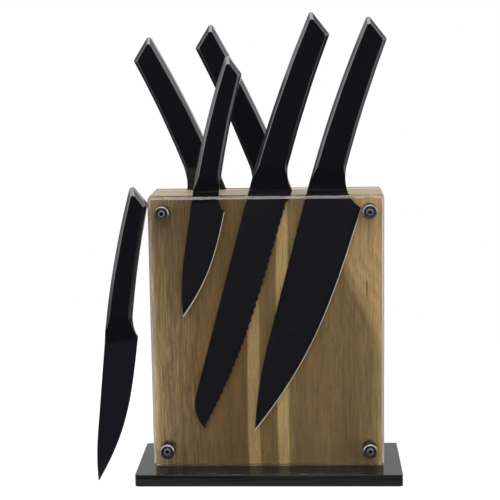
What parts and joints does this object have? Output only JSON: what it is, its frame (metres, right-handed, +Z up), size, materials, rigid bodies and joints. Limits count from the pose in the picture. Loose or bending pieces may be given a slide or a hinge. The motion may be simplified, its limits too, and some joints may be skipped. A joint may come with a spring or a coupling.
{
  "type": "knife block with knives",
  "caption": "Two-sided magnetic knife block: a wooden board on a black plinth between clear slot guards, holding black knives, with one knife leaning outside.",
  "frame": {"origin": "centre of the block's footprint, on the surface that it stands on", "axes": "+Z up, -Y the front with three slotted knives, +X to the right seen from the front"},
  "size_m": [0.2495, 0.089, 0.3784],
  "materials": {
    "acacia": "oiled acacia, vertical grain",
    "black_lacquer": "gloss black lacquer",
    "pad_foam": "matt foam",
    "clear_acrylic": "clear, polished edges",
    "dark_nickel": "dark nickel plate",
    "black_oxide": "black oxide",
    "brass": "turned",
    "zinc_steel": "zinc plate",
    "ferrite": "sintered",
    "coated_steel": "matt black coating on stainless steel",
    "black_handle": "satin moulded"
  },
  "bodies": {
    "block": {"non_slip_pad": "pad_foam", "base_plate": "black_lacquer", "base_screws": "zinc_steel", "core_board": "acacia", "front_facing": "acacia", "rear_facing": "acacia", "front_magnets": "ferrite", "rear_magnets": "ferrite", "front_panel": "clear_acrylic", "rear_panel": "clear_acrylic", "front_spacers": "dark_nickel", "rear_spacers": "dark_nickel", "front_inserts": "brass", "rear_inserts": "brass", "front_screws": "black_oxide", "rear_screws": "black_oxide", "front_washers": "dark_nickel", "rear_washers": "dark_nickel"},
    "chef_knife": {"chef_knife_blade": "coated_steel", "chef_knife_handle": "black_handle"},
    "bread_knife": {"bread_knife_blade": "coated_steel", "bread_knife_handle": "black_handle"},
    "paring_knife": {"paring_knife_blade": "coated_steel", "paring_knife_handle": "black_handle"},
    "carving_knife": {"carving_knife_blade": "coated_steel", "carving_knife_handle": "black_handle"},
    "santoku_knife": {"santoku_knife_blade": "coated_steel", "santoku_knife_handle": "black_handle"},
    "utility_knife": {"utility_knife_blade": "coated_steel", "utility_knife_handle": "black_handle"}
  },
  "joints": [
    {"name": "chef_knife_draw", "type": "slide", "parent": "block", "child": "chef_knife", "axis": [0.2554, 0, 0.9668], "range_m": [0, 0.205]},
    {"name": "bread_knife_draw", "type": "slide", "parent": "block", "child": "bread_knife", "axis": [0.2622, 0, 0.965], "range_m": [0, 0.205]},
    {"name": "paring_knife_draw", "type": "slide", "parent": "block", "child": "paring_knife", "axis": [0.1547, 0, 0.988], "range_m": [0, 0.105]},
    {"name": "carving_knife_draw", "type": "slide", "parent": "block", "child": "carving_knife", "axis": [-0.3584, 0, 0.9336], "range_m": [0, 0.195]},
    {"name": "santoku_knife_draw", "type": "slide", "parent": "block", "child": "santoku_knife", "axis": [-0.3584, 0, 0.9336], "range_m": [0, 0.185]},
    {"name": "utility_knife_lift", "type": "slide", "parent": "block", "child": "utility_knife", "axis": [0, 0, 1], "range_m": [0, 0.25]}
  ]
}
